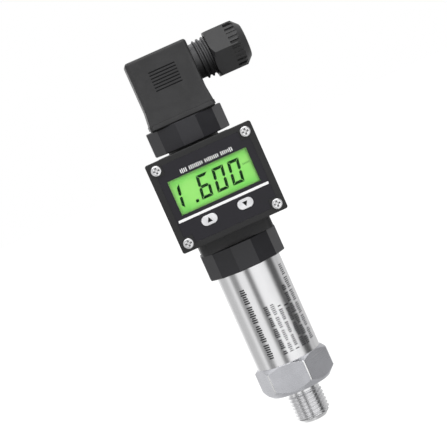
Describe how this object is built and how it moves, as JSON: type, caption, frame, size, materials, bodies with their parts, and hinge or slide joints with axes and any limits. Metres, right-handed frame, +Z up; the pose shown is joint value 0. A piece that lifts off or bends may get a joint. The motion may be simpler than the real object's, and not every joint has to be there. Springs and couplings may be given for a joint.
{
  "type": "pressure transmitter",
  "caption": "Pressure transmitter with a steel hexagon fitting and tube, a plug-on digital display with oval keys, and an angled cable plug with a gland.",
  "frame": {"origin": "centre of the flat sealing shoulder under the hexagon, on the axis of the pressure port", "axes": "+Z up along the instrument, from the process thread to the cable plug; the display faces -Y; the cable gland points along +X"},
  "size_m": [0.0567, 0.0462, 0.1578],
  "materials": {
    "steel": "fine turned",
    "polished_steel": "polished",
    "collar": "satin",
    "housing": "satin",
    "front_plate": "fine grained",
    "printed_film": "matt print",
    "plug": "satin",
    "key": "satin",
    "clear_pane": "clear",
    "display_glass": "backlit green",
    "backlight": "diffuse",
    "inner_moulding": "satin",
    "rubber": "matt",
    "circuit_board": "solder mask",
    "chip": "matt",
    "contact_metal": "tinned",
    "screw_metal": "plated"
  },
  "bodies": {
    "transmitter": {"process_fitting": "steel", "sensor_capsule": "steel", "sensor_o_ring": "rubber", "sensor_lock_ring": "steel", "body_tube": "polished_steel", "board_holder": "inner_moulding", "signal_board": "circuit_board", "board_chips": "chip", "lower_collar": "collar", "tube_o_ring": "rubber", "lower_contact_base": "inner_moulding", "lower_contact_blades": "contact_metal", "centre_nut": "contact_metal", "hub_gasket": "rubber", "hub_contact_block": "inner_moulding", "hub_contact_sleeves": "contact_metal", "hub_terminal_screws": "screw_metal", "display_housing": "housing", "face_gasket": "rubber", "front_plate": "front_plate", "front_label": "printed_film", "display_window": "clear_pane", "lcd_glass": "display_glass", "backlight_panel": "backlight", "display_board": "circuit_board", "board_screws": "screw_metal", "key_switches": "chip", "cover_screws": "screw_metal", "upper_collar": "collar", "upper_contact_base": "inner_moulding", "upper_contact_blades": "contact_metal", "plug_gasket": "rubber", "plug_housing": "plug", "plug_contact_block": "inner_moulding", "plug_contact_sleeves": "contact_metal", "plug_terminal_screws": "screw_metal", "long_screw": "screw_metal", "screw_seal": "rubber", "cable_seal": "rubber"},
    "up_key": {"up_key": "key"},
    "down_key": {"down_key": "key"},
    "clamp_ring": {"clamp_ring": "inner_moulding"},
    "gland_nut": {"gland_nut": "plug"}
  },
  "joints": [
    {"name": "up_key_press", "type": "slide", "parent": "transmitter", "child": "up_key", "axis": [0, 1, 0], "range_m": [0, 0.00035], "stiffness_N_per_m": 400, "springref_m": -0.0005},
    {"name": "down_key_press", "type": "slide", "parent": "transmitter", "child": "down_key", "axis": [0, 1, 0], "range_m": [0, 0.00035], "stiffness_N_per_m": 400, "springref_m": -0.0005},
    {"name": "clamp_ring_travel", "type": "slide", "parent": "transmitter", "child": "clamp_ring", "axis": [-1, 0, 0], "range_m": [-0.00683, 0.00196]},
    {"name": "gland_nut_turn", "type": "hinge", "parent": "clamp_ring", "child": "gland_nut", "pos_m": [0.0277, 0, 0.13355], "axis": [-1, 0, 0], "range_deg": [-1260, 360]}
  ],
  "couplings": [
    {"joint": "clamp_ring_travel", "follows": "gland_nut_turn", "m_per_rad": 0.00031035}
  ]
}
